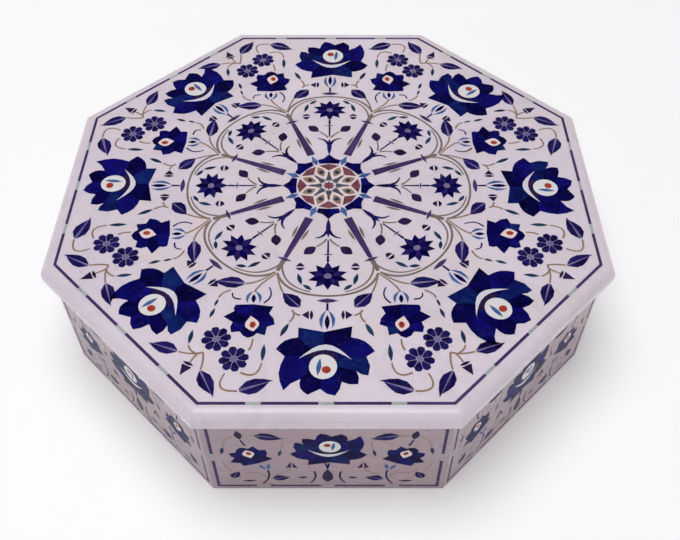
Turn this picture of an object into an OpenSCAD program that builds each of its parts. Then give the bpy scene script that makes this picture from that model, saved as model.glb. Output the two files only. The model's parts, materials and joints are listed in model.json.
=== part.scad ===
// Octagonal marble box with a lift-off lid. Every coloured stone is a flat piece let into a pocket of its
// own, and stands a hair above the softer marble as polishing leaves it. The origin is at the middle of
// the underside, +Z is up and the front wall faces -Y. Only the stems, tendrils and buds, which are too thin
// to be pieces of their own, are left out.

/* [Box] */
// Lid size across two opposite flats
lid_across = 305; // [240:1:380]
// Thickness of the lid slab
lid_thick = 11; // [9:0.5:16]
// Height of the walls, which is also the underside of the lid
wall_height = 70; // [66:1:90]
// Thickness of each wall panel
wall_thick = 8; // [6:0.5:12]
// How far the lid stands out past the walls
lid_overhang = 4.4; // [2:0.2:8]
// Thickness of the floor plate inside the walls
floor_thick = 8; // [5:0.5:12]
// Thickness of the plate under the lid that drops inside the walls
locator_thick = 4; // [2:0.5:8]
// Gap on each side between that plate and the walls
locator_gap = 1; // [0.5:0.1:2]

/* [Edges] */
// Radius of the rounded upper edge of the lid
lid_round = 5.4; // [1:0.2:6]
// Chamfer of the lower edge of the lid
lid_chamfer = 1.4; // [0.4:0.1:2]
// Chamfer of the upright corners of the walls
wall_chamfer = 0.5; // [0.3:0.1:1]

/* [Inlay] */
// Thickness of the stones
inlay_depth = 1.5; // [1:0.1:2.5]
// How far the stones stand above the marble
inlay_proud = 0.05; // [0.02:0.01:0.1]
// Distance from the edge of the lid to the middle of its inlaid border line
lid_margin = 8; // [7:0.5:12]
// Width of the border lines, in hundredths of the distance from the lid's middle to its border
border_wide = 1.1; // [0.9:0.1:1.8]
// Size of a wall's lotus against the lid's
wall_lotus_size = 0.8; // [0.7:0.02:0.82]
// Size of a wall's side flowers against the lid's
wall_flower_size = 0.86; // [0.7:0.02:0.88]

/* [Hidden] */

SIDES = 8;
STEP = 360 / SIDES;
HALF_SIDE = tan(STEP / 2);
lid_flat = lid_across / 2;
wall_flat = lid_flat - lid_overhang;
inner_flat = wall_flat - wall_thick;
lid_top = wall_height + lid_thick;
// The marble faces, which lie just behind the faces of the stones
marble_top = lid_top - inlay_proud;
marble_flat = wall_flat - inlay_proud;
// The inlay is drawn in hundredths of the distance from the lid's middle to its border line
u = (lid_flat - lid_margin) / 100;
wall_half = wall_flat * HALF_SIDE / u;
wall_tall = wall_height / u;
// Distance of a wall's border line from the panel's edges
wall_inset = 2.4;
frame_x = wall_half - wall_inset;
frame_top = wall_tall - wall_inset;
// Border inserts: where the two outer ones of a side sit, and their length
insert_at = 23.5;
insert_long = 5;
NAVY = 0;
ROYAL = 1;
TEAL = 2;
cut_over = 1;
// Hairline between the walls and the lid, which lies on them without glue
seat_gap = 0.02;
// Which walls an inlay module fills, counted anticlockwise from the front
$walls = [0 : SIDES - 1];

MARBLE = "#DDD3D8";
LAPIS_NAVY = "#120C52";
LAPIS_ROYAL = "#1B2380";
LAPIS_TEAL = "#1D3F73";
PEARL = "#EBE6E4";
GREY_SHELL = "#BDB6C4";
PLUM = "#3A2440";
VIOLET = "#5E4A72";
PALE_GREEN = "#A9BDB4";
CARNELIAN = "#B4382A";
SHELL_PINK = "#E9C9C4";
TURQUOISE = "#6E9CC0";
INK = "#241B5E";
LILAC = "#9C92C6";
GOLD = "#9C8672";
BOTTLE = "#2F4038";
BRICK = "#8E4A4E";
SLATE = "#4A4C5C";

// ---------------------------------------------------------------- outlines, in pattern units

function left(v) = [-v.y, v.x] / norm(v);
function turned(p, a) = [p.x * cos(a) - p.y * sin(a), p.x * sin(a) + p.y * cos(a)];
function put(pts, at, s, a) = [for (p = pts) at + s * turned(p, a)];
function polar(r, a) = [r * sin(a), r * cos(a)];
function back(p) = [for (i = [len(p) - 1 : -1 : 0]) p[i]];
function inner(p) = [for (i = [1 : len(p) - 2]) p[i]];

// A side from a to b that bulges to its left by s; a lean under 1 moves the bulge towards a
function side(a, b, s, n = 4, lean = 1) =
    [for (i = [0 : n]) let (t = i / n) a + (b - a) * t + left(b - a) * s * sin(180 * pow(t, lean))];

// The number of straight runs that a bulge needs
function runs(s) = abs(s) > 1 ? 4 : abs(s) > 0.35 ? 2 : 1;

// A pointed oval from a to b, s wide on each side of its line
function lens(a, b, s, n = 4, lean = 1) =
    concat(side(a, b, s, n, lean), back(inner(side(a, b, -s, n, lean))));

// A curved piece from a to b, between two bulges to the left of its line
function crescent(a, b, far, near, n) = concat(side(a, b, far, n), back(inner(side(a, b, near, n))));

function oval(c, rx, ry, n) = [for (i = [0 : n - 1]) c + [rx * cos(360 * i / n), ry * sin(360 * i / n)]];

// A leaf from its base a to its tip b is two halves with a tapering rib between them
function leaf_left(a, b, w, g) = side(a + left(b - a) * g, b, w - g, 4, 0.8);
function leaf_foot(a, b, g) = a - left(b - a) * g;
function leaf_shoulder(a, b, g) = let (foot = leaf_foot(a, b, g)) foot + (b - foot) * 0.88;
function leaf_right(a, b, w, g) = side(leaf_foot(a, b, g), leaf_shoulder(a, b, g), g - w, 4, 0.8);
function leaf_rib(a, b, g) = [a + left(b - a) * g, b, leaf_shoulder(a, b, g), leaf_foot(a, b, g)];

// One petal of a ring, from r0 to r1 on the line at angle a, blunt or pointed
function blunt_petal(c, a, r0, r1, h0, h) =
    let (k = [[r0, h0], [r1 * 0.72, h], [r1 * 0.95, h * 0.66], [r1, 0]])
    concat(
        [for (p = k) c + turned([p.y, p.x], a)],
        [for (p = back([for (i = [0 : 2]) k[i]])) c + turned([-p.y, p.x], a)]
    );

// ---------------------------------------------------------------- the lotus and the side flower

// Petal i of a flower runs from valley i over its tip to valley i + 1, clockwise
lotus_valleys = [[-5, 7.9], [2, 10.6], [8.6, 6.8], [14.1, -2.1], [9.9, -9.9],
                 [1, -12.2], [-8.2, -10], [-13.3, -2], [-9.9, 3.8]];
lotus_tips = [[-2.8, 13.2], [6.1, 12.8], [14, 11.2], [17.2, -5.1], [9.9, -14.1],
              [-8.7, -14.6], [-16.2, -4.2], [-13.8, 5.4], [-10.4, 8.8]];
lotus_bulges = [[0.45, 0.6], [-0.35, 1.3], [-0.6, 1.8], [-0.3, 1.3], [0.3, -0.3],
                [-0.3, 0.3], [1.4, -0.3], [0.9, 0.5], [0.5, 0.5]];
// Where each seam between two petals runs in under the eye
lotus_seams = [[-0.5, 4.6], [1.4, 5], [4, 3.6], [6, -2.4], [4.5, -4.2],
               [1, -4.6], [-3, -3.6], [-6, -1.8], [-2.4, 1.6]];
lotus_tones = [ROYAL, NAVY, ROYAL, NAVY, TEAL, NAVY, ROYAL, TEAL, NAVY];
lotus_heart = [1, 0];

flower_valleys = [[-5, 2.6], [-1.6, 5.3], [4.2, 4.6], [7, 0.6], [6.8, -4.2], [0.3, -7.2], [-5.4, -3.2]];
flower_tips = [[-4.5, 6.2], [1.3, 7.3], [7.2, 4.9], [10.4, -1.8], [6.6, -7], [-6.8, -6.2], [-7.6, 1.6]];
flower_bulges = [[0.3, 0.3], [0.4, 0.5], [0.3, 0.6], [-0.2, 0.3], [0.4, -0.2], [-0.2, 0.3], [0.6, 0.2]];
flower_seams = [[-1.2, 1.8], [-0.2, 2.4], [0.8, 2], [1, 1], [0.8, 0.4], [0.2, 0], [-0.8, 0.6]];
flower_tones = [TEAL, NAVY, ROYAL, NAVY, ROYAL, NAVY, ROYAL];
flower_heart = [0, 1.2];

eye_disc = oval([1.2, 2], 4.7, 4.9, 20);
eye_boat = crescent([-8.4, -0.8], [9.4, -1.2], -6, -3.8, 8);
eye_tongue = side([-4.2, -1.8], [7.2, -1.6], -4.1, 6);
eye_drop = oval([0.1, 3.2], 1.6, 1.5, 8);
eye_shard = lens([2.2, -1.4], [3, 5.6], 0.85, 4);
flower_drop = lens([0.9, -2.1], [-0.3, 4.6], 2.5, 6, 1.15);
flower_red = oval([0, 1.7], 1.15, 1.5, 6);

// ---------------------------------------------------------------- setting the stones

module stone(pts) {
    linear_extrude(inlay_depth) polygon(pts * u);
}

// A stone with other outlines cut out of it
module pierced(pts, holes) {
    linear_extrude(inlay_depth) difference() {
        polygon(pts * u);
        for (h = holes) polygon(h * u);
    }
}

module petals(valleys, tips, bulges, seams, tones, heart, tone, holes, at, s, a) {
    n = len(tips);
    cuts = [for (h = holes) put(h, at, s, a)];
    for (i = [0 : n - 1]) {
        j = (i + 1) % n;
        rim = concat(side(valleys[i], tips[i], bulges[i][0], runs(bulges[i][0])),
                     inner(side(tips[i], valleys[j], bulges[i][1], runs(bulges[i][1]))), [valleys[j]]);
        outline = concat(rim, [seams[j], heart, seams[i]]);
        if (tones[i] == tone) pierced(put(outline, at, s, a), cuts);
    }
}

module lotus_petals(tone, at, s = 1) {
    petals(lotus_valleys, lotus_tips, lotus_bulges, lotus_seams, lotus_tones, lotus_heart,
           tone, [eye_disc, eye_boat, eye_tongue], at, s, 0);
}

module flower_petals(tone, at, s = 1, a = 0) {
    petals(flower_valleys, flower_tips, flower_bulges, flower_seams, flower_tones, flower_heart,
           tone, [flower_drop], at, s, a);
}

module lotus_disc(at, s = 1) {
    pierced(put(eye_disc, at, s, 0), [for (h = [eye_drop, eye_shard]) put(h, at, s, 0)]);
}

module lotus_tongue(at, s = 1) {
    pierced(put(eye_tongue, at, s, 0), [for (h = [eye_disc, eye_boat]) put(h, at, s, 0)]);
}

module flower_heart_stone(at, s = 1, a = 0) {
    pierced(put(flower_drop, at, s, a), [put(flower_red, at, s, a)]);
}

module leaf_halves(a, b, w, g) {
    stone(leaf_left(a, b, w, g));
    stone(leaf_right(a, b, w, g));
}

// ---------------------------------------------------------------- where things go on the lid

module on_lid() {
    translate([0, 0, lid_top - inlay_depth]) children();
}

module all_round() {
    for (k = [0 : SIDES - 1]) rotate(k * STEP) children();
}

// The outer field repeats as a wedge and its mirror image, four times round
module wedges() {
    for (k = [0 : 3]) rotate(k * 90) {
        children();
        mirror([1, 0, 0]) children();
    }
}

// A point on the column line, which lies halfway between two lotuses: out along it and across it
function on_column(out, across) = turned([across, out], -STEP / 2);

lotus_at = [0, 84];
flower_at = [25.7, 67];
blossoms = [[31.1, 82.9], [37.7, 74.7]];
blossom_size = 5.1;
star_at = [0, 46.9];

// Leaves of the wedge: base, tip, half width, half width of the rib
wedge_leaves = [
    [[28.4, 95.2], [17.4, 91.4], 3.1, 0.6],
    [[41.8, 87.6], [36.6, 97.9], 2.8, 0.4],
    [[50.4, 79.7], [60.6, 76], 2.7, 0.45],
    [[9.7, 61], [16.1, 54], 2.9, 0.35],
    [[29.8, 50.3], [41.3, 48.9], 2.9, 0.6]
];

// ---------------------------------------------------------------- lid inlay, one module per sort of stone

module lid_border_bars() color(VIOLET) on_lid() all_round() for (m = [-1, 1]) {
    near = 100 - border_wide / 2;
    far = 100 + border_wide / 2;
    start = insert_at + insert_long / 2;
    stone([[m * start, near], [m * near * HALF_SIDE, near], [m * far * HALF_SIDE, far], [m * start, far]]);
    x0 = insert_long / 2;
    x1 = insert_at - insert_long / 2;
    stone([[m * x0, near], [m * x1, near], [m * x1, far], [m * x0, far]]);
}

module lid_border_inserts() color(PALE_GREEN) on_lid() all_round() for (x = [-insert_at, 0, insert_at]) {
    h = [insert_long, border_wide] / 2;
    stone([[x - h.x, 100 - h.y], [x + h.x, 100 - h.y], [x + h.x, 100 + h.y], [x - h.x, 100 + h.y]]);
}

module lid_petals(tone) on_lid() {
    all_round() lotus_petals(tone, lotus_at);
    wedges() flower_petals(tone, flower_at);
}

module lid_petals_navy() color(LAPIS_NAVY) lid_petals(NAVY);
module lid_petals_royal() color(LAPIS_ROYAL) lid_petals(ROYAL);
module lid_petals_teal() color(LAPIS_TEAL) lid_petals(TEAL);
module lid_eye_discs() color(PEARL) on_lid() all_round() lotus_disc(lotus_at);
module lid_eye_boats() color(GREY_SHELL) on_lid() all_round() stone(put(eye_boat, lotus_at, 1, 0));
module lid_eye_tongues() color(PLUM) on_lid() all_round() lotus_tongue(lotus_at);
module lid_flower_hearts() color(SHELL_PINK) on_lid() wedges() flower_heart_stone(flower_at);

module lid_red_drops() color(CARNELIAN) on_lid() {
    all_round() stone(put(eye_drop, lotus_at, 1, 0));
    wedges() stone(put(flower_red, flower_at, 1, 0));
}

module lid_calyx_lobes() color(TURQUOISE) on_lid() {
    all_round() {
        stone(put(eye_shard, lotus_at, 1, 0));
        stone(crescent([-1.7, 70.5], [-0.3, 62.4], -1.8, -0.5, 4));
        stone(crescent([1.7, 70.7], [0.3, 62.4], 1.8, 0.5, 4));
    }
    wedges() {
        stone(crescent([23.9, 59.3], [25.8, 53.8], -1.6, -0.4, 4));
        stone(crescent([28.2, 59.3], [26.4, 53.8], 1.6, 0.4, 4));
    }
}

module lid_calyx_hearts() color(LAPIS_NAVY) on_lid() {
    all_round() stone(lens([0, 70.9], [0, 64.3], 0.9, 4));
    wedges() stone(lens([26.1, 59.2], [26.1, 55.2], 0.8, 4));
}

module lid_small_petals() color(INK) on_lid() wedges() for (c = blossoms, k = [0 : 7])
    stone(blunt_petal(c, 45 * k + 10, 1.25, blossom_size, 0.45, 1.47));

// The star flower is a little wider than it is tall, and its petal towards the middle is the longest
function star_point(r, k) = star_at + [1.16, 1] * r * [[sin(36 * k), 0], [0, cos(36 * k)]];
module star_petals(first) on_lid() all_round() for (k = [first : 2 : 9])
    stone([star_point(1.2, k - 0.5), star_point(4.1, k - 0.5), star_point(k == 5 ? 7 : 6.4, k),
           star_point(4.1, k + 0.5), star_point(1.2, k + 0.5)]);
module lid_star_petals_dark() color(LAPIS_NAVY) star_petals(0);
module lid_star_petals_violet() color(INK) star_petals(1);

module lid_leaf_halves() color(INK) on_lid() wedges() for (f = wedge_leaves)
    leaf_halves(f[0], f[1], f[2], f[3]);
module lid_leaf_ribs() color(LILAC) on_lid() wedges() for (f = wedge_leaves)
    stone(leaf_rib(f[0], f[1], f[3]));

// The bars between the sectors, their caps, and the short bars that cross the lotus lines
module lid_columns() color(VIOLET) on_lid() all_round() {
    stone([on_column(19.3, -1.7), on_column(41, -0.85), on_column(41, 0.85), on_column(19.3, 1.7)]);
    stone(lens(on_column(41.9, -3), on_column(41.9, 3), 0.85, 2));
    stone(lens([-3.9, 58.2], [3.9, 58.2], 0.95, 4));
    stone(lens([-1.9, 36.5], [1.9, 36.5], 0.4, 2));
}

// ---------------------------------------------------------------- the rosette in the middle of the lid

function half_point(m) = [[0, 12.9], [m * 4, 12.7], [m * 4.6, 14.9], [m * 2.2, 15.9], [0, 18.4]];
module rosette_points_navy() color(LAPIS_NAVY) on_lid() all_round() stone(half_point(1));
module rosette_points_royal() color(LAPIS_ROYAL) on_lid() all_round() stone(half_point(-1));

module rosette_spikes() color(TURQUOISE) on_lid() all_round()
    stone([on_column(12.8, 0), on_column(15, 1.3), on_column(18.8, 0), on_column(15, -1.3)]);

// A petal is a pale rim round a golden heart, with a dark dot in it
rosette_petal = lens(on_column(4, 0), on_column(12.4, 0), 2.5, 5);
rosette_heart = lens(on_column(5.5, 0), on_column(11.4, 0), 1.65, 5);
rosette_dot = oval(on_column(8.2, 0), 1, 1, 8);
module rosette_petals() color(SHELL_PINK) on_lid() all_round() pierced(rosette_petal, [rosette_heart]);
module rosette_hearts() color(GOLD) on_lid() all_round() pierced(rosette_heart, [rosette_dot]);
module rosette_dots() color(BOTTLE) on_lid() all_round() stone(rosette_dot);

// The stones that fill the ring between the petals, and the little star inside it
module rosette_lozenges() color(BRICK) on_lid() {
    all_round() stone([[0, 8.7], [2.1, 10.2], [3.9, 11.6], [0, 12.6], [-3.9, 11.6], [-2.1, 10.2]]);
    stone([for (k = [0 : 15]) polar(k % 2 == 0 ? 2.5 : 1.6, k * 22.5)]);
}

module rosette_star() color(SLATE) on_lid() all_round()
    stone([[0, 2.75], [1.1, 2.9], [1.25, 3.6], [0.6, 5.6], [0.45, 7.5], [0, 8.4],
           [-0.45, 7.5], [-0.6, 5.6], [-1.25, 3.6], [-1.1, 2.9]]);

// ---------------------------------------------------------------- where things go on the walls

module on_wall(k) {
    rotate(k * STEP) translate([0, -(wall_flat - inlay_depth), 0]) rotate([90, 0, 0]) children();
}

module on_walls() {
    for (k = $walls) on_wall(k) children();
}

module both() {
    children();
    mirror([1, 0, 0]) children();
}

wall_lotus_at = [0, 30.2];
wall_flower_at = [26.6, 25.6];
wall_flower_tilt = -24;
// Leaves of half a wall: base, tip, half width, half width of the rib
wall_leaves = [
    [[24.4, 39.4], [14.4, 37.4], 2.5, 0.4],
    [[20, 8], [13.4, 9.3], 2.2, 0.3],
    [[34.4, 8.4], [31.7, 13.8], 1.9, 0.25]
];

// ---------------------------------------------------------------- wall inlay, one module per sort of stone

module wall_border_bars() color(VIOLET) on_walls() both() {
    h = border_wide / 2;
    gap = insert_long / 2;
    x = frame_x;
    mid = wall_tall / 2;
    stone([[gap, wall_inset - h], [insert_at - gap, wall_inset - h],
           [insert_at - gap, wall_inset + h], [gap, wall_inset + h]]);
    stone([[insert_at + gap, wall_inset - h], [x + h, wall_inset - h], [x + h, mid - gap],
           [x - h, mid - gap], [x - h, wall_inset + h], [insert_at + gap, wall_inset + h]]);
    stone([[insert_at + gap, frame_top + h], [x + h, frame_top + h], [x + h, mid + gap],
           [x - h, mid + gap], [x - h, frame_top - h], [insert_at + gap, frame_top - h]]);
    stone([[gap, frame_top - h], [insert_at - gap, frame_top - h],
           [insert_at - gap, frame_top + h], [gap, frame_top + h]]);
}

module wall_border_inserts() color(PALE_GREEN) on_walls() {
    h = [insert_long, border_wide] / 2;
    for (x = [-insert_at, 0, insert_at], y = [wall_inset, frame_top])
        stone([[x - h.x, y - h.y], [x + h.x, y - h.y], [x + h.x, y + h.y], [x - h.x, y + h.y]]);
    for (x = [-frame_x, frame_x])
        stone([[x - h.y, wall_tall / 2 - h.x], [x + h.y, wall_tall / 2 - h.x],
               [x + h.y, wall_tall / 2 + h.x], [x - h.y, wall_tall / 2 + h.x]]);
}

module wall_petals(tone) on_walls() {
    lotus_petals(tone, wall_lotus_at, wall_lotus_size);
    both() flower_petals(tone, wall_flower_at, wall_flower_size, wall_flower_tilt);
}

module wall_petals_navy() color(LAPIS_NAVY) wall_petals(NAVY);
module wall_petals_royal() color(LAPIS_ROYAL) wall_petals(ROYAL);
module wall_petals_teal() color(LAPIS_TEAL) wall_petals(TEAL);
module wall_eye_discs() color(PEARL) on_walls() lotus_disc(wall_lotus_at, wall_lotus_size);
module wall_eye_boats() color(GREY_SHELL) on_walls()
    stone(put(eye_boat, wall_lotus_at, wall_lotus_size, 0));

module wall_eye_tongues() color(PLUM) on_walls() lotus_tongue(wall_lotus_at, wall_lotus_size);

module wall_red_drops() color(CARNELIAN) on_walls() {
    stone(put(eye_drop, wall_lotus_at, wall_lotus_size, 0));
    both() stone(put(flower_red, wall_flower_at, wall_flower_size, wall_flower_tilt));
}

module wall_flower_hearts() color(SHELL_PINK) on_walls() both()
    flower_heart_stone(wall_flower_at, wall_flower_size, wall_flower_tilt);

module wall_calyx_lobes() color(TURQUOISE) on_walls() {
    stone(put(eye_shard, wall_lotus_at, wall_lotus_size, 0));
    both() {
        stone(lens([20.7, 19.4], [21.1, 15.2], -0.8, 3));
        stone(lens([24.2, 18.6], [22.1, 15.2], -0.8, 3));
    }
}

module wall_leaf_halves() color(INK) on_walls() both() for (f = wall_leaves)
    leaf_halves(f[0], f[1], f[2], f[3]);

module wall_leaf_ribs() color(LILAC) on_walls() both() for (f = wall_leaves)
    stone(leaf_rib(f[0], f[1], f[3]));

// ---------------------------------------------------------------- marble

module octagon(flat) {
    polygon([for (k = [0 : SIDES - 1])
        flat / cos(STEP / 2) * [cos((k + 0.5) * STEP), sin((k + 0.5) * STEP)]]);
}

module lid_inlay() {
    lid_border_bars();
    lid_border_inserts();
    lid_petals_navy();
    lid_petals_royal();
    lid_petals_teal();
    lid_eye_discs();
    lid_eye_boats();
    lid_eye_tongues();
    lid_red_drops();
    lid_flower_hearts();
    lid_calyx_lobes();
    lid_small_petals();
    lid_star_petals_dark();
    lid_star_petals_violet();
    lid_calyx_hearts();
    lid_leaf_halves();
    lid_leaf_ribs();
    lid_columns();
    rosette_points_navy();
    rosette_points_royal();
    rosette_spikes();
    rosette_petals();
    rosette_hearts();
    rosette_dots();
    rosette_lozenges();
    rosette_star();
}

// The slab's outline from its underside up: [distance of the flats from the middle, height]
lid_profile = concat(
    [[lid_flat - lid_chamfer, wall_height], [lid_flat, wall_height + lid_chamfer]],
    [for (a = [0 : 11.25 : 90]) [lid_flat, marble_top] + lid_round * [cos(a) - 1, sin(a) - 1]]
);

// What is sawn and ground away outside that outline, along one side of the lid
module lid_side_waste() {
    far = lid_flat + 2 * cut_over;
    length = 2 * far;
    rotate([90, 0, 0]) translate([0, 0, -length / 2]) linear_extrude(length) polygon(concat(
        [[lid_flat - lid_chamfer, wall_height - cut_over]],
        lid_profile,
        [[lid_flat - lid_round, marble_top + cut_over],
         [far, marble_top + cut_over],
         [far, wall_height - cut_over]]
    ));
}

module lid_slab() color(MARBLE) difference() {
    translate([0, 0, wall_height]) linear_extrude(marble_top - wall_height) octagon(lid_flat + cut_over);
    all_round() lid_side_waste();
    lid_inlay();
}

module lid_locating_plate() color(MARBLE)
    translate([0, 0, wall_height - locator_thick]) linear_extrude(locator_thick)
        octagon(inner_flat - locator_gap);

module floor_plate() color(MARBLE) linear_extrude(floor_thick) octagon(inner_flat);

module wall_inlay() {
    wall_border_bars();
    wall_border_inserts();
    wall_petals_navy();
    wall_petals_royal();
    wall_petals_teal();
    wall_eye_discs();
    wall_eye_boats();
    wall_eye_tongues();
    wall_red_drops();
    wall_flower_hearts();
    wall_calyx_lobes();
    wall_leaf_halves();
    wall_leaf_ribs();
}

// One panel, mitred to its neighbours, with the upright corners eased square to the mitre
module wall_panel(k) color(MARBLE) difference() {
    eased = marble_flat - wall_chamfer * sin(STEP / 2) * cos(STEP / 2);
    rotate(k * STEP) linear_extrude(wall_height - seat_gap) polygon([
        [-inner_flat * HALF_SIDE, -inner_flat],
        [-eased * HALF_SIDE, -eased],
        [-marble_flat * HALF_SIDE + wall_chamfer, -marble_flat],
        [marble_flat * HALF_SIDE - wall_chamfer, -marble_flat],
        [eased * HALF_SIDE, -eased],
        [inner_flat * HALF_SIDE, -inner_flat]
    ]);
    let ($walls = [k]) wall_inlay();
}

floor_plate();
wall_panel(0);  // wall_front
wall_panel(1);  // wall_front_right
wall_panel(2);  // wall_right
wall_panel(3);  // wall_back_right
wall_panel(4);  // wall_back
wall_panel(5);  // wall_back_left
wall_panel(6);  // wall_left
wall_panel(7);  // wall_front_left
wall_border_bars();
wall_border_inserts();
wall_petals_navy();
wall_petals_royal();
wall_petals_teal();
wall_eye_discs();
wall_eye_boats();
wall_eye_tongues();
wall_red_drops();
wall_flower_hearts();
wall_calyx_lobes();
wall_leaf_halves();
wall_leaf_ribs();
lid_slab();
lid_locating_plate();
lid_border_bars();
lid_border_inserts();
lid_petals_navy();
lid_petals_royal();
lid_petals_teal();
lid_eye_discs();
lid_eye_boats();
lid_eye_tongues();
lid_red_drops();
lid_flower_hearts();
lid_calyx_lobes();
lid_calyx_hearts();
lid_small_petals();
lid_star_petals_dark();
lid_star_petals_violet();
lid_leaf_halves();
lid_leaf_ribs();
lid_columns();
rosette_points_navy();
rosette_points_royal();
rosette_spikes();
rosette_petals();
rosette_hearts();
rosette_dots();
rosette_lozenges();
rosette_star();
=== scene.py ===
"""The looks of an octagonal marble box inlaid with lapis lazuli and other stones.

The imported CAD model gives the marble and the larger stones. This script gives each of them its
material, adds the stones that are too thin to be CAD pieces, and sets the stage, lights and camera.
"""
import json
import math

import bmesh
import bpy
from mathutils import Matrix, Vector


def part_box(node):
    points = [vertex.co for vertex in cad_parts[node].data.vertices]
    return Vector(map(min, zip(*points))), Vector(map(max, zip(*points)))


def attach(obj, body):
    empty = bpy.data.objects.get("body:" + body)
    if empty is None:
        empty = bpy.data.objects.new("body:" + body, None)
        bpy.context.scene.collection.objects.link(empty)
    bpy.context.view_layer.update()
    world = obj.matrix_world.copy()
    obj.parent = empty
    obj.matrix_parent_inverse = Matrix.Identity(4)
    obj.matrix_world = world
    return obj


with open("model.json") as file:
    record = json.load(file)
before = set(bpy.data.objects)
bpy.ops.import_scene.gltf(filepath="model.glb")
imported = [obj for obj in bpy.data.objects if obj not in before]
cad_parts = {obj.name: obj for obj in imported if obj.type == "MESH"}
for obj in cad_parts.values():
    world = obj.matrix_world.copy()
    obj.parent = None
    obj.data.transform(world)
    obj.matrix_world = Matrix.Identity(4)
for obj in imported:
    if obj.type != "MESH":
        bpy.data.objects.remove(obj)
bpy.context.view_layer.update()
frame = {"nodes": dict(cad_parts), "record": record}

# ------------------------------------------------------------------ sizes, from the CAD model

SIDES = 8
STEP = 360 / SIDES
BORDER_OUTER = 100.55                   # outer edge of the lid's border line, in pattern units
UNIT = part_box("lid_border_bars")[1].y / BORDER_OUTER
LID_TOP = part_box("lid_petals_navy")[1].z
MARBLE_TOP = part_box("lid_slab")[1].z
WALL_FACE = -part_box("wall_petals_navy")[0].y
PROUD = LID_TOP - MARBLE_TOP            # how far the stones stand above the marble
THIN_DEPTH = 0.0006                     # how deep the thin stones reach below the stones' face

# ------------------------------------------------------------------ outlines, in pattern units


def turned(p, degrees):
    c, s = math.cos(math.radians(degrees)), math.sin(math.radians(degrees))
    return (p[0] * c - p[1] * s, p[0] * s + p[1] * c)


def on_column(out, across=0.0):
    """A point on the line between two lotuses: out along it and across it."""
    return turned((across, out), -STEP / 2)


def bulge(a, b, s, n=10, lean=1.0):
    """Points from a to b that bulge to the left by s. A lean under 1 moves the bulge towards a."""
    dx, dy = b[0] - a[0], b[1] - a[1]
    length = math.hypot(dx, dy)
    out = []
    for i in range(n + 1):
        t = i / n
        h = s * math.sin(math.pi * t ** lean)
        out.append((a[0] + dx * t - dy / length * h, a[1] + dy * t + dx / length * h))
    return out


def lens(a, b, s, n=10, lean=1.0):
    """A pointed oval from a to b, s wide on each side of its line."""
    return bulge(a, b, s, n, lean) + bulge(a, b, -s, n, lean)[-2:0:-1]


def moon(a, b, s, n=8):
    """A half-moon on the line from a to b."""
    return bulge(a, b, s, n)


def curve(a, control, b, n=12):
    out = []
    for i in range(n + 1):
        t = i / n
        k = ((1 - t) ** 2, 2 * t * (1 - t), t * t)
        out.append(tuple(k[0] * a[j] + k[1] * control[j] + k[2] * b[j] for j in (0, 1)))
    return out


def strip(path, w0, w1):
    """The outline of a stem along path, w0 wide at its start and w1 at its end."""
    left, right = [], []
    last = len(path) - 1
    for i, p in enumerate(path):
        q, r = path[max(i - 1, 0)], path[min(i + 1, last)]
        dx, dy = r[0] - q[0], r[1] - q[1]
        h = (w0 + (w1 - w0) * i / last) / 2 / math.hypot(dx, dy)
        left.append((p[0] - dy * h, p[1] + dx * h))
        right.append((p[0] + dy * h, p[1] - dx * h))
    return left + right[::-1]


def stem(a, control, b, w0=0.76, w1=0.6):
    return strip(curve(a, control, b), w0, w1)


def bud(a, b, w):
    """A bud at a that points to b: a bar across its foot, and a triangle before it."""
    dx, dy = b[0] - a[0], b[1] - a[1]
    length = math.hypot(dx, dy)
    ox, oy = -dy / length * w, dx / length * w
    fx, fy = a[0] + 0.42 * w * dx / length, a[1] + 0.42 * w * dy / length
    bar = lens((a[0] - ox, a[1] - oy), (a[0] + ox, a[1] + oy), 0.29 * w)
    return [bar, [(fx - 0.9 * ox, fy - 0.9 * oy), (fx + 0.9 * ox, fy + 0.9 * oy), b]]


def oval(c, rx, ry, n=20):
    return [(c[0] + rx * math.cos(2 * math.pi * i / n), c[1] + ry * math.sin(2 * math.pi * i / n))
            for i in range(n)]


# ------------------------------------------------------------------ where the thin stones go

hub = on_column(48)

# Outlines of one wedge of the lid, which repeats with its mirror image four times round
LID_WEDGE = {
    "lid_stems": [stem(*p) for p in (
        ((28.9, 95.4), (37.6, 96), (33.6, 88.6)), ((28.4, 88.3), (22.6, 91.4), (21.7, 84.5)),
        ((26.4, 79.4), (25.2, 77.4), (25.3, 74.7)), ((41.6, 80.2), (41, 84), (41.8, 87.2)),
        ((41.6, 80.2), (45, 81.4), (50, 79.9)), ((43.5, 80.8), (44.6, 82.2), (45.5, 84.2)),
        ((43.8, 80.8), (46.4, 79.6), (46.9, 77.2)), ((13.1, 67.6), (10.8, 65), (12.2, 62.3)),
        ((9.4, 64.6), (11.2, 64.4), (12.4, 62.5)), ((16, 54.1), (17.3, 51.5), (18.2, 46.6)),
        ((25.9, 54.2), (25, 51), (18.9, 46)), ((29.5, 50.4), (24.5, 50.2), (19, 44.8)),
        ((34.6, 53.4), (38, 54.6), (38.5, 57)))],
    "lid_tendrils": [stem(*p, 0.7, 0.5) for p in (
        ((22.4, 59.2), (18.6, 56.4), (20.9, 52)), ((30.6, 57.4), (34, 57.6), (33.8, 54.6)))],
    "lid_slender_leaves": [lens(*p) for p in (
        ((13.2, 68), (16.1, 73.8), 0.85), ((21.6, 84), (21.2, 76.8), 0.8),
        ((46.9, 76.8), (46.1, 70.8), 0.75), ((39.4, 61.4), (40.9, 65.8), 0.65),
        ((38.6, 57.3), (39.7, 60.7), 0.5))],
    "lid_buds": bud((46.1, 84.7), (48.4, 89.3), 2.1),
    "lid_flower_centres": [oval(c, 1.2, 1.2) for c in ((31.1, 82.9), (37.7, 74.7))],
}

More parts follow.
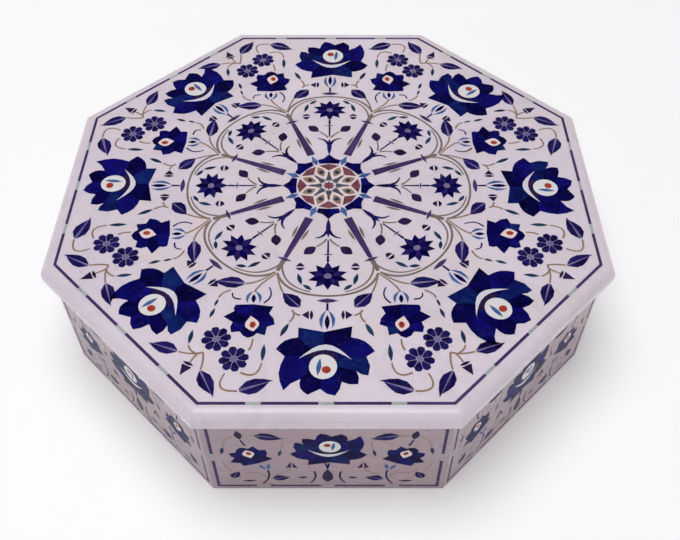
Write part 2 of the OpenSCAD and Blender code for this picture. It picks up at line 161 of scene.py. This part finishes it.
# Outlines of half of one of the lid's eight sectors, which repeats with its mirror image
LID_HALF_SECTOR = {
    "lid_arches": [
        strip(curve((hub[0], hub[1] + 1), (15.4, 55.8), (0, 56.1), 20), 0.95, 0.8),
        strip(curve((16.8, 41.6), (16.4, 51.6), (6.2, 54.2), 16), 0.8, 0.5),
        stem((0.6, 28.7), (1.4, 30.6), (4.3, 32.6)),
        lens(on_column(24.6, 2.4), on_column(31.4, 1.9), 0.55),
    ],
    "lid_tendrils": [strip(curve((0.5, 24.6), (1.5, 27.9), (4.8, 28.3)), 1.3, 0.5)],
    "lid_slender_leaves": [lens((10.9, 45.6), (9.4, 51), 0.8), lens((9, 50.8), (5.6, 53.4), 0.75)],
    "lid_buds": bud((5.5, 64.5), (8.9, 64.5), 2.1) + [
        moon((8.3, 42.9), (11.9, 42.9), 1.3), moon((8.5, 42.3), (11.7, 42.3), -1.7),
        lens((4.5, 32.7), (9.1, 36.3), 1.9)],
}

# Outlines that lie across a sector's own middle line, or on the line between two sectors
LID_SECTOR = {
    "lid_arches": [strip([on_column(42.6), hub], 2.0, 1.4)],
    "lid_tendrils": [strip([(0, 62.6), (0, 59.3)], 0.9, 0.8), strip([(0, 40.1), (0, 37)], 1.0, 0.8),
                     strip([(0, 36), (0, 29.4)], 0.8, 0.6), lens((0, 18), (0, 28.2), 0.95)],
    "lid_flower_centres": [oval((0, 46.9), 1.3, 1.1)],
}

# The same for a wall: x along it and y up it, from the middle of its lower edge
WALL_HALF = {
    "wall_stems": [stem(*p) for p in (
        ((15.8, 29.9), (15, 33), (15.2, 35.8)), ((35.7, 31.9), (35.2, 37), (31.6, 39)),
        ((24.8, 39.5), (26.6, 38.6), (28.4, 39.4)), ((34, 14.4), (37, 17), (36.6, 21.4)),
        ((13, 15.8), (14.4, 13), (18.8, 11)), ((22.3, 9.6), (23.4, 13.2), (29.6, 12.6)))],
    "wall_tendrils": [stem(*p, 0.8, 0.6) for p in (
        ((21.4, 14.6), (20, 9), (23.7, 4)), ((27.9, 32.6), (28.8, 34.4), (29.2, 36.4)),
        ((4.9, 13.6), (3.3, 9), (6.3, 4.7)), ((0.6, 19.8), (0.3, 17.7), (0, 15.6)))],
    "wall_slender_leaves": [lens((16.9, 24.8), (15.9, 29.6), 0.6), lens((36.6, 26.4), (35.8, 31.6), 0.7),
                            lens((7.2, 9.3), (10.8, 8.5), 0.75)],
    "wall_buds": [lens((29.3, 36.8), (30.2, 42.6), 1.3), [(10.5, 16.3), (12.3, 16.5), (12.5, 20.4)],
                  [(13, 16.5), (14.8, 16.3), (12.9, 21)], lens((25.6, 6.3), (31, 6.3), 0.6)],
}
WALL_MIDDLE = {"wall_buds": [lens((0, 5.4), (0, 15.4), 2.0, 14, 0.75)]}

# ------------------------------------------------------------------ the thin stones as meshes

FINE_SLOTS = {
    "stems": "golden_shell",
    "arches": "golden_shell",
    "tendrils": "violet_lapis",
    "slender_leaves": "dark_jade",
    "buds": "plum_jasper",
    "flower_centres": "lilac_quartz",
}
# Where thin stones cross, the one with the lower share of PROUD is hidden under the other
TOP_SHARE = {
    "stems": 0.45,
    "arches": 0.25,
    "tendrils": 0.35,
    "slender_leaves": 0.65,
    "buds": 0.75,
    "flower_centres": 0.85,
}
TOP_STEP = 0.01                         # share of PROUD between crossing stones of one sort
TOP_STEPS = 12                          # after so many stones the steps start again


def lid_matrix(quarter_turns_of_45, mirrored):
    flip = Matrix.Diagonal((-1 if mirrored else 1, 1, 1, 1))
    return Matrix.Rotation(math.radians(STEP * quarter_turns_of_45), 4, "Z") @ flip


def add_prism(bm, outline, matrix, top, place):
    """A closed prism under outline. place turns (x, y, height) in metres into the model's frame."""
    area = sum(p[0] * q[1] - q[0] * p[1] for p, q in zip(outline, outline[1:] + outline[:1]))
    ring = outline if area > 0 else outline[::-1]
    if matrix.to_3x3().determinant() < 0:
        ring = ring[::-1]
    upper = [bm.verts.new(matrix @ place(p, top)) for p in ring]
    lower = [bm.verts.new(matrix @ place(p, -THIN_DEPTH)) for p in ring]
    bm.faces.new(upper)
    bm.faces.new(lower[::-1])
    n = len(ring)
    for i in range(n):
        j = (i + 1) % n
        bm.faces.new((upper[i], lower[i], lower[j], upper[j]))


def on_lid(p, height):
    return Vector((p[0] * UNIT, p[1] * UNIT, LID_TOP + height))


def on_wall(p, height):
    return Vector((p[0] * UNIT, -WALL_FACE - height, p[1] * UNIT))


def make_thin_stones(name, groups, place, body):
    """groups: (outlines, matrices) pairs, each outline once for each matrix."""
    sort = name.split("_", 1)[1]
    bm = bmesh.new()
    for outlines, matrices in groups:
        for i, outline in enumerate(outlines):
            # stems of one sort that cross lie a hair apart, so that no two faces coincide
            top = -PROUD * (1 - TOP_SHARE[sort] + TOP_STEP * (i % TOP_STEPS))
            for matrix in matrices:
                add_prism(bm, outline, matrix, top, place)
    mesh = bpy.data.meshes.new(name)
    bm.to_mesh(mesh)
    bm.free()
    obj = bpy.data.objects.new(name, mesh)
    bpy.context.scene.collection.objects.link(obj)
    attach(obj, body)
    return obj


wedge_places = [lid_matrix(2 * k, m) for k in range(4) for m in (False, True)]
half_places = [lid_matrix(k, m) for k in range(SIDES) for m in (False, True)]
whole_places = [lid_matrix(k, False) for k in range(SIDES)]
thin_stones = []
for name in sorted(set(LID_WEDGE) | set(LID_HALF_SECTOR) | set(LID_SECTOR)):
    thin_stones.append(make_thin_stones(name, [
        (LID_WEDGE.get(name, []), wedge_places),
        (LID_HALF_SECTOR.get(name, []), half_places),
        (LID_SECTOR.get(name, []), whole_places)], on_lid, "lid"))
for name in sorted(set(WALL_HALF) | set(WALL_MIDDLE)):
    thin_stones.append(make_thin_stones(name, [
        (WALL_HALF.get(name, []), half_places),
        (WALL_MIDDLE.get(name, []), whole_places)], on_wall, "box"))

# ------------------------------------------------------------------ materials


class Nodes:
    """Short names for building one material's node tree."""

    def __init__(self, name):
        self.material = bpy.data.materials.new(name)
        self.material.use_nodes = True
        self.tree = self.material.node_tree
        self.shader = self.tree.nodes["Principled BSDF"]
        self.place = self.new("ShaderNodeTexCoord").outputs["Object"]

    def new(self, kind, **settings):
        node = self.tree.nodes.new(kind)
        for key, value in settings.items():
            setattr(node, key, value)
        return node

    def put(self, socket, value):
        if isinstance(value, bpy.types.NodeSocket):
            self.tree.links.new(value, socket)
        elif isinstance(value, tuple) and len(value) == 3 and socket.type == "RGBA":
            socket.default_value = (*value, 1)
        else:
            socket.default_value = value

    def noise(self, scale, detail=3.0, roughness=0.5, distortion=0.0):
        node = self.new("ShaderNodeTexNoise")
        self.put(node.inputs["Vector"], self.place)
        for key, value in (("Scale", scale), ("Detail", detail), ("Roughness", roughness),
                           ("Distortion", distortion)):
            node.inputs[key].default_value = value
        return node.outputs["Fac"]

    def ramp(self, value, low, high, to_low=0.0, to_high=1.0):
        node = self.new("ShaderNodeMapRange", clamp=True)
        self.put(node.inputs["Value"], value)
        for key, number in (("From Min", low), ("From Max", high), ("To Min", to_low), ("To Max", to_high)):
            node.inputs[key].default_value = number
        return node.outputs["Result"]

    def math(self, operation, a, b=0.0):
        node = self.new("ShaderNodeMath", operation=operation)
        self.put(node.inputs[0], a)
        self.put(node.inputs[1], b)
        return node.outputs[0]

    def mix(self, share, a, b):
        node = self.new("ShaderNodeMix", data_type="RGBA")
        self.put(node.inputs[0], share)
        self.put(node.inputs[6], a)
        self.put(node.inputs[7], b)
        return node.outputs[2]

    def cells(self, scale):
        node = self.new("ShaderNodeTexVoronoi")
        self.put(node.inputs["Vector"], self.place)
        node.inputs["Scale"].default_value = scale
        return node.outputs["Distance"]

    def island(self):
        """One number from 0 to 1 for each stone."""
        return self.new("ShaderNodeNewGeometry").outputs["Random Per Island"]

    def bump(self, height, strength, distance):
        node = self.new("ShaderNodeBump")
        node.inputs["Strength"].default_value = strength
        node.inputs["Distance"].default_value = distance
        self.put(node.inputs["Height"], height)
        self.put(self.shader.inputs["Normal"], node.outputs["Normal"])

    def set(self, **inputs):
        for key, value in inputs.items():
            self.put(self.shader.inputs[key.replace("_", " ")], value)


def marble(name, dark, light, warm):
    """Polished marble: clouds between two tones, patches of a warm one and faint veins."""
    m = Nodes(name)
    cloud = m.noise(9, 5, 0.6, 0.4)
    vein_field = m.noise(5.5, 6, 0.62, 1.8)
    vein = m.ramp(m.math("ABSOLUTE", m.math("SUBTRACT", vein_field, 0.5)), 0.0, 0.022, 1.0, 0.0)
    grain = m.noise(900, 2, 0.6)
    colour = m.mix(m.ramp(cloud, 0.3, 0.7), dark, light)
    colour = m.mix(m.ramp(m.noise(24, 4, 0.6, 1.1), 0.46, 0.64, 0.0, 0.75), colour, warm)
    colour = m.mix(m.math("MULTIPLY", vein, 0.16), colour, tuple(0.62 * v for v in dark))
    colour = m.mix(m.ramp(grain, 0.35, 0.7, 0.0, 0.10), colour, tuple(min(1.1 * v, 0.9) for v in light))
    m.set(Base_Color=colour, Roughness=m.ramp(m.noise(60, 4, 0.6), 0.3, 0.7, 0.24, 0.38),
          Subsurface_Weight=0.12, Subsurface_Scale=0.004, Specular_IOR_Level=0.4,
          Coat_Weight=0.12, Coat_Roughness=0.12)
    m.shader.inputs["Subsurface Radius"].default_value = (1.0, 0.8, 0.75)
    m.bump(m.math("ADD", m.noise(35, 2), m.math("MULTIPLY", grain, 0.15)), 0.12, 0.0004)
    return m.material


def lapis(name, deep, bright, green, spread=1.0):
    """deep, bright and green are its dark, blue and greenish tones."""
    m = Nodes(name)
    cloud = m.noise(170, 5, 0.62, 0.8)
    tone = m.math("ADD", m.math("MULTIPLY", m.ramp(cloud, 0.3, 0.72), 0.6),
                  m.math("MULTIPLY", m.island(), 0.55 * spread))
    colour = m.mix(m.ramp(tone, 0.15, 0.95), deep, bright)
    colour = m.mix(m.ramp(m.noise(95, 4, 0.6, 1.2), 0.55, 0.78, 0.0, 0.55), colour, green)
    calcite = m.ramp(m.noise(420, 5, 0.7, 1.5), 0.70, 0.80, 0.0, 0.30)
    colour = m.mix(calcite, colour, (0.16, 0.19, 0.40))
    pyrite = m.math("MULTIPLY", m.ramp(m.cells(900), 0.10, 0.17, 1.0, 0.0),
                    m.ramp(m.noise(140, 2), 0.54, 0.64))
    colour = m.mix(m.math("MULTIPLY", pyrite, 0.45), colour, (0.42, 0.31, 0.12))
    m.set(Base_Color=colour, Roughness=m.ramp(m.noise(300, 3), 0.3, 0.7, 0.18, 0.34),
          Specular_IOR_Level=0.03)
    m.bump(m.math("ADD", cloud, m.math("MULTIPLY", pyrite, 0.5)), 0.10, 0.0003)
    return m.material


def stone(name, dark, light, scale=220, rough=(0.18, 0.32), fleck=None, fleck_share=0.0, spread=0.5):
    """A fine-grained stone between two tones, with flecks of a third."""
    m = Nodes(name)
    cloud = m.noise(scale, 5, 0.6, 0.9)
    tone = m.math("ADD", m.math("MULTIPLY", m.ramp(cloud, 0.3, 0.7), 1 - spread),
                  m.math("MULTIPLY", m.island(), spread))
    colour = m.mix(tone, dark, light)
    if fleck:
        colour = m.mix(m.ramp(m.noise(scale * 2.4, 4, 0.7, 1.0), 0.58, 0.72, 0.0, fleck_share), colour, fleck)
    m.set(Base_Color=colour, Roughness=m.ramp(m.noise(260, 3), 0.3, 0.7, *rough), Specular_IOR_Level=0.06)
    m.bump(cloud, 0.10, 0.0003)
    return m.material


def mother_of_pearl(name, base, sheen_a, sheen_b):
    """Nacre: bands of faint pink and green that follow its growth layers."""
    m = Nodes(name)
    wave = m.new("ShaderNodeTexWave", wave_type="BANDS", bands_direction="DIAGONAL")
    m.put(wave.inputs["Vector"], m.place)
    for key, value in (("Scale", 70), ("Distortion", 9), ("Detail", 3), ("Detail Scale", 2.2)):
        wave.inputs[key].default_value = value
    colour = m.mix(m.math("MULTIPLY", wave.outputs["Fac"], 0.45), base, sheen_a)
    colour = m.mix(m.ramp(m.noise(190, 4, 0.6, 1.4), 0.52, 0.72, 0.0, 0.55), colour, sheen_b)
    m.set(Base_Color=colour, Roughness=m.ramp(m.noise(400, 3), 0.3, 0.7, 0.14, 0.28),
          Coat_Weight=0.35, Coat_Roughness=0.08)
    m.bump(wave.outputs["Fac"], 0.06, 0.0002)
    return m.material


MATERIALS = {
    "white_marble": marble(
        "white_marble", (0.70, 0.610, 0.695), (0.79, 0.70, 0.79), (0.75, 0.645, 0.665)),
    "lapis_navy": lapis(
        "lapis_navy", (0.001, 0.0005, 0.022), (0.003, 0.0015, 0.080), (0.002, 0.005, 0.050),
        1.3),
    "lapis_royal": lapis(
        "lapis_royal", (0.002, 0.001, 0.055), (0.006, 0.0045, 0.165), (0.005, 0.012, 0.120)),
    "lapis_teal": lapis(
        "lapis_teal", (0.002, 0.003, 0.055), (0.006, 0.018, 0.150), (0.008, 0.050, 0.160)),
    "mother_of_pearl": mother_of_pearl(
        "mother_of_pearl", (0.79, 0.755, 0.77), (0.73, 0.79, 0.78), (0.80, 0.66, 0.69)),
    "pink_shell": mother_of_pearl(
        "pink_shell", (0.84, 0.66, 0.64), (0.86, 0.76, 0.76), (0.90, 0.80, 0.74)),
    "grey_pearl": mother_of_pearl(
        "grey_pearl", (0.70, 0.67, 0.75), (0.72, 0.74, 0.78), (0.76, 0.68, 0.74)),
    "golden_shell": mother_of_pearl(
        "golden_shell", (0.28, 0.180, 0.118), (0.35, 0.235, 0.152), (0.29, 0.160, 0.120)),
    "plum_jasper": stone(
        "plum_jasper", (0.010, 0.005, 0.032), (0.036, 0.017, 0.080), fleck=(0.10, 0.03, 0.05),
        fleck_share=0.5),
    "violet_jasper": stone(
        "violet_jasper", (0.036, 0.018, 0.085), (0.092, 0.052, 0.170),
        fleck=(0.17, 0.10, 0.17), fleck_share=0.4),
    "pale_jade": stone(
        "pale_jade", (0.30, 0.37, 0.35), (0.46, 0.50, 0.49), fleck=(0.58, 0.60, 0.61),
        fleck_share=0.6),
    "carnelian": stone(
        "carnelian", (0.27, 0.022, 0.016), (0.44, 0.060, 0.036), fleck=(0.60, 0.20, 0.13),
        fleck_share=0.3),
    "turquoise": stone(
        "turquoise", (0.030, 0.075, 0.240), (0.095, 0.185, 0.430), fleck=(0.02, 0.04, 0.16),
        fleck_share=0.8),
    "violet_lapis": lapis(
        "violet_lapis", (0.003, 0.002, 0.032), (0.019, 0.012, 0.125), (0.014, 0.028, 0.130),
        1.4),
    "lilac_quartz": stone(
        "lilac_quartz", (0.135, 0.105, 0.25), (0.25, 0.20, 0.38), fleck=(0.38, 0.30, 0.42),
        fleck_share=0.5),
    "dark_jade": stone(
        "dark_jade", (0.005, 0.014, 0.045), (0.022, 0.062, 0.135), fleck=(0.05, 0.12, 0.20),
        fleck_share=0.5),
    "red_jasper": stone(
        "red_jasper", (0.13, 0.038, 0.055), (0.25, 0.085, 0.105), fleck=(0.38, 0.20, 0.19),
        fleck_share=0.5),
    "grey_slate": stone(
        "grey_slate", (0.045, 0.050, 0.065), (0.12, 0.13, 0.15), fleck=(0.22, 0.24, 0.24),
        fleck_share=0.5),
}

# The wall panels get a darker, rosier copy of the lid's marble: painted shade, standing in for the shade the
# walls lie in
wall_marble = marble("wall_marble", (0.38, 0.275, 0.325), (0.45, 0.335, 0.385), (0.43, 0.300, 0.320))

for part in frame["record"]["subparts"]:
    node = frame["nodes"][part["node"]]
    # Marble wall panels take the darker copy with the painted shade; the lid and the inner plates keep the
    # pale marble
    is_panel = part["node"].startswith("wall_") and part["material_slot"] == "white_marble"
    for material_slot in node.material_slots:
        material_slot.material = wall_marble if is_panel else MATERIALS[part["material_slot"]]
# The arches over the star flowers are of a smokier shell than the stems
smoky_shell = mother_of_pearl("smoky_shell", (0.19, 0.14, 0.12), (0.26, 0.19, 0.15), (0.20, 0.13, 0.125))
for obj in thin_stones:
    sort = obj.name.split("_", 1)[1]
    obj.data.materials.append(smoky_shell if sort == "arches" else MATERIALS[FINE_SLOTS[sort]])

# ------------------------------------------------------------------ floor, lights and camera

FLOOR_SIZE = 24
bpy.ops.mesh.primitive_plane_add(size=FLOOR_SIZE)
floor = bpy.context.object
floor.name = "floor"
ground = Nodes("floor_paper")
paper = ground.mix(ground.noise(3, 2), (0.94, 0.94, 0.945), (0.96, 0.96, 0.96))
reach = ground.new("ShaderNodeVectorMath", operation="LENGTH")
ground.put(reach.inputs[0], ground.place)
# The paper glows more where the softboxes no longer reach it, so it stays evenly pale
GLOW_NEAR, GLOW_FAR = 0.20, 0.60        # glow of the paper near the box and away from it
GLOW_START, GLOW_END = 0.3, 2.1         # metres from the middle between which it grows
glow = ground.ramp(reach.outputs["Value"], GLOW_START, GLOW_END, GLOW_NEAR, GLOW_FAR)
ground.set(Base_Color=paper, Roughness=0.9, Specular_IOR_Level=0.1,
           Emission_Color=paper, Emission_Strength=glow)
floor.data.materials.append(ground.material)


def area_light(name, at, towards, size, watts, colour=(1, 1, 1)):
    light = bpy.data.lights.new(name, "AREA")
    light.shape, light.size, light.energy, light.color = "DISK", size, watts, colour
    obj = bpy.data.objects.new(name, light)
    bpy.context.scene.collection.objects.link(obj)
    obj.location = at
    obj.rotation_euler = (Vector(towards) - Vector(at)).to_track_quat("-Z", "Y").to_euler()


area_light("overhead_softbox", (-0.15, -0.04, 1.6), (0, 0, 0.05), 1.1, 16.2)
area_light("front_left_softbox", (-1.1, -1.3, 0.95), (0, 0, 0.03), 0.9, 0.8, (1, 0.90, 0.92))
area_light("front_right_softbox", (1.2, -1.1, 0.9), (0, 0, 0.03), 0.9, 0.6, (1, 0.90, 0.92))
world = bpy.data.worlds.new("studio")
world.use_nodes = True
sky = world.node_tree
direction = sky.nodes.new("ShaderNodeTexCoord")
split = sky.nodes.new("ShaderNodeSeparateXYZ")
fade = sky.nodes.new("ShaderNodeMapRange")
background = sky.nodes["Background"]
background.inputs["Color"].default_value = (0.97, 0.96, 1.0, 1)
# Pale at the horizon, where it meets the paper, and dimmer overhead
WORLD_LOW, WORLD_HIGH = 0.88, 0.24      # its strength at the horizon and overhead
FADE_END = 0.22                         # sine of the angle above the horizon where it is dimmest
for key, value in (("From Min", 0.0), ("From Max", FADE_END), ("To Min", WORLD_LOW), ("To Max", WORLD_HIGH)):
    fade.inputs[key].default_value = value
sky.links.new(direction.outputs["Generated"], split.inputs["Vector"])
sky.links.new(split.outputs["Z"], fade.inputs["Value"])
sky.links.new(fade.outputs["Result"], background.inputs["Strength"])
bpy.context.scene.world = world
bpy.context.scene.view_settings.view_transform = "Standard"

camera_data = bpy.data.cameras.new("camera")
camera_data.lens = 44.32                # millimetres
camera = bpy.data.objects.new("camera", camera_data)
camera.location = (0.0064, -0.3478, 0.4174)
CAMERA_TILT = 40.19                     # degrees up from straight down
camera.rotation_euler = (math.radians(CAMERA_TILT), 0, 0)
bpy.context.scene.collection.objects.link(camera)
bpy.context.scene.camera = camera
